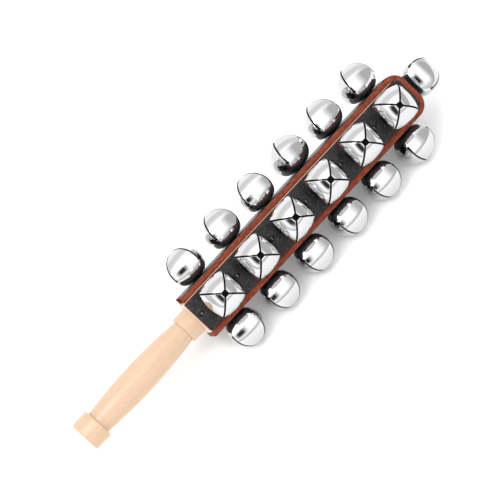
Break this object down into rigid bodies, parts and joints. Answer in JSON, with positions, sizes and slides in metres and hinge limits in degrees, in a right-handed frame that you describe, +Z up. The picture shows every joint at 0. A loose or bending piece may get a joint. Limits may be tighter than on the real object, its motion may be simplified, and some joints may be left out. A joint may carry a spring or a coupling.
{
  "type": "bell rattle",
  "caption": "Hand bell rattle: a turned wooden handle on a square wooden block dressed in dark leather, with rows of chromed jingle bells on every side and a bell on the tip.",
  "frame": {"origin": "centre of the flat end of the pommel, on the stick's long axis", "axes": "+X along the stick from the pommel to the tip bell; +Z up, with the stick rolled by 45 degrees so that it lies on the bells of its right and back rows; the front row points to -Y and +Z, the left row to +Y and +Z"},
  "size_m": [0.3663, 0.0719, 0.0719],
  "materials": {
    "wood": "satin, lightly lacquered",
    "leather": "satin grain, rust-brown cut edges",
    "chrome": "polished",
    "steel": "plain"
  },
  "bodies": {
    "stick": {"handle": "wood", "block": "wood", "side_strap": "leather", "front_panel": "leather", "back_panel": "leather", "panel_nails": "steel", "panel_screws": "steel", "strap_screws": "steel", "bell_tip": "chrome", "bell_front_1": "chrome", "bell_front_2": "chrome", "bell_front_3": "chrome", "bell_front_4": "chrome", "bell_front_5": "chrome", "bell_front_6": "chrome", "bell_left_1": "chrome", "bell_left_2": "chrome", "bell_left_3": "chrome", "bell_left_4": "chrome", "bell_left_5": "chrome", "bell_left_6": "chrome", "bell_back_1": "chrome", "bell_back_2": "chrome", "bell_back_3": "chrome", "bell_back_4": "chrome", "bell_back_5": "chrome", "bell_back_6": "chrome", "bell_right_1": "chrome", "bell_right_2": "chrome", "bell_right_3": "chrome", "bell_right_4": "chrome", "bell_right_5": "chrome", "bell_right_6": "chrome"},
    "pellet_tip": {"pellet_tip": "steel"},
    "pellet_front_1": {"pellet_front_1": "steel"},
    "pellet_front_2": {"pellet_front_2": "steel"},
    "pellet_front_3": {"pellet_front_3": "steel"},
    "pellet_front_4": {"pellet_front_4": "steel"},
    "pellet_front_5": {"pellet_front_5": "steel"},
    "pellet_front_6": {"pellet_front_6": "steel"},
    "pellet_left_1": {"pellet_left_1": "steel"},
    "pellet_left_2": {"pellet_left_2": "steel"},
    "pellet_left_3": {"pellet_left_3": "steel"},
    "pellet_left_4": {"pellet_left_4": "steel"},
    "pellet_left_5": {"pellet_left_5": "steel"},
    "pellet_left_6": {"pellet_left_6": "steel"},
    "pellet_back_1": {"pellet_back_1": "steel"},
    "pellet_back_2": {"pellet_back_2": "steel"},
    "pellet_back_3": {"pellet_back_3": "steel"},
    "pellet_back_4": {"pellet_back_4": "steel"},
    "pellet_back_5": {"pellet_back_5": "steel"},
    "pellet_back_6": {"pellet_back_6": "steel"},
    "pellet_right_1": {"pellet_right_1": "steel"},
    "pellet_right_2": {"pellet_right_2": "steel"},
    "pellet_right_3": {"pellet_right_3": "steel"},
    "pellet_right_4": {"pellet_right_4": "steel"},
    "pellet_right_5": {"pellet_right_5": "steel"},
    "pellet_right_6": {"pellet_right_6": "steel"}
  },
  "joints": [
    {"name": "rattle_tip", "type": "slide", "parent": "stick", "child": "pellet_tip", "axis": [0, 0, 1], "range_m": [0, 0.0218]},
    {"name": "rattle_front_1", "type": "slide", "parent": "stick", "child": "pellet_front_1", "axis": [0, 0, 1], "range_m": [0, 0.01693]},
    {"name": "rattle_front_2", "type": "slide", "parent": "stick", "child": "pellet_front_2", "axis": [0, 0, 1], "range_m": [0, 0.01694]},
    {"name": "rattle_front_3", "type": "slide", "parent": "stick", "child": "pellet_front_3", "axis": [0, 0, 1], "range_m": [0, 0.01697]},
    {"name": "rattle_front_4", "type": "slide", "parent": "stick", "child": "pellet_front_4", "axis": [0, 0, 1], "range_m": [0, 0.01693]},
    {"name": "rattle_front_5", "type": "slide", "parent": "stick", "child": "pellet_front_5", "axis": [0, 0, 1], "range_m": [0, 0.01695]},
    {"name": "rattle_front_6", "type": "slide", "parent": "stick", "child": "pellet_front_6", "axis": [0, 0, 1], "range_m": [0, 0.01697]},
    {"name": "rattle_left_1", "type": "slide", "parent": "stick", "child": "pellet_left_1", "axis": [0, 0, 1], "range_m": [0, 0.01708]},
    {"name": "rattle_left_2", "type": "slide", "parent": "stick", "child": "pellet_left_2", "axis": [0, 0, 1], "range_m": [0, 0.01704]},
    {"name": "rattle_left_3", "type": "slide", "parent": "stick", "child": "pellet_left_3", "axis": [0, 0, 1], "range_m": [0, 0.01694]},
    {"name": "rattle_left_4", "type": "slide", "parent": "stick", "child": "pellet_left_4", "axis": [0, 0, 1], "range_m": [0, 0.01735]},
    {"name": "rattle_left_5", "type": "slide", "parent": "stick", "child": "pellet_left_5", "axis": [0, 0, 1], "range_m": [0, 0.01704]},
    {"name": "rattle_left_6", "type": "slide", "parent": "stick", "child": "pellet_left_6", "axis": [0, 0, 1], "range_m": [0, 0.01714]},
    {"name": "rattle_back_1", "type": "slide", "parent": "stick", "child": "pellet_back_1", "axis": [0, 0, 1], "range_m": [0, 0.01823]},
    {"name": "rattle_back_2", "type": "slide", "parent": "stick", "child": "pellet_back_2", "axis": [0, 0, 1], "range_m": [0, 0.01823]},
    {"name": "rattle_back_3", "type": "slide", "parent": "stick", "child": "pellet_back_3", "axis": [0, 0, 1], "range_m": [0, 0.01824]},
    {"name": "rattle_back_4", "type": "slide", "parent": "stick", "child": "pellet_back_4", "axis": [0, 0, 1], "range_m": [0, 0.01823]},
    {"name": "rattle_back_5", "type": "slide", "parent": "stick", "child": "pellet_back_5", "axis": [0, 0, 1], "range_m": [0, 0.01825]},
    {"name": "rattle_back_6", "type": "slide", "parent": "stick", "child": "pellet_back_6", "axis": [0, 0, 1], "range_m": [0, 0.01823]},
    {"name": "rattle_right_1", "type": "slide", "parent": "stick", "child": "pellet_right_1", "axis": [0, 0, 1], "range_m": [0, 0.01827]},
    {"name": "rattle_right_2", "type": "slide", "parent": "stick", "child": "pellet_right_2", "axis": [0, 0, 1], "range_m": [0, 0.01823]},
    {"name": "rattle_right_3", "type": "slide", "parent": "stick", "child": "pellet_right_3", "axis": [0, 0, 1], "range_m": [0, 0.01823]},
    {"name": "rattle_right_4", "type": "slide", "parent": "stick", "child": "pellet_right_4", "axis": [0, 0, 1], "range_m": [0, 0.01825]},
    {"name": "rattle_right_5", "type": "slide", "parent": "stick", "child": "pellet_right_5", "axis": [0, 0, 1], "range_m": [0, 0.01823]},
    {"name": "rattle_right_6", "type": "slide", "parent": "stick", "child": "pellet_right_6", "axis": [0, 0, 1], "range_m": [0, 0.0184]}
  ]
}
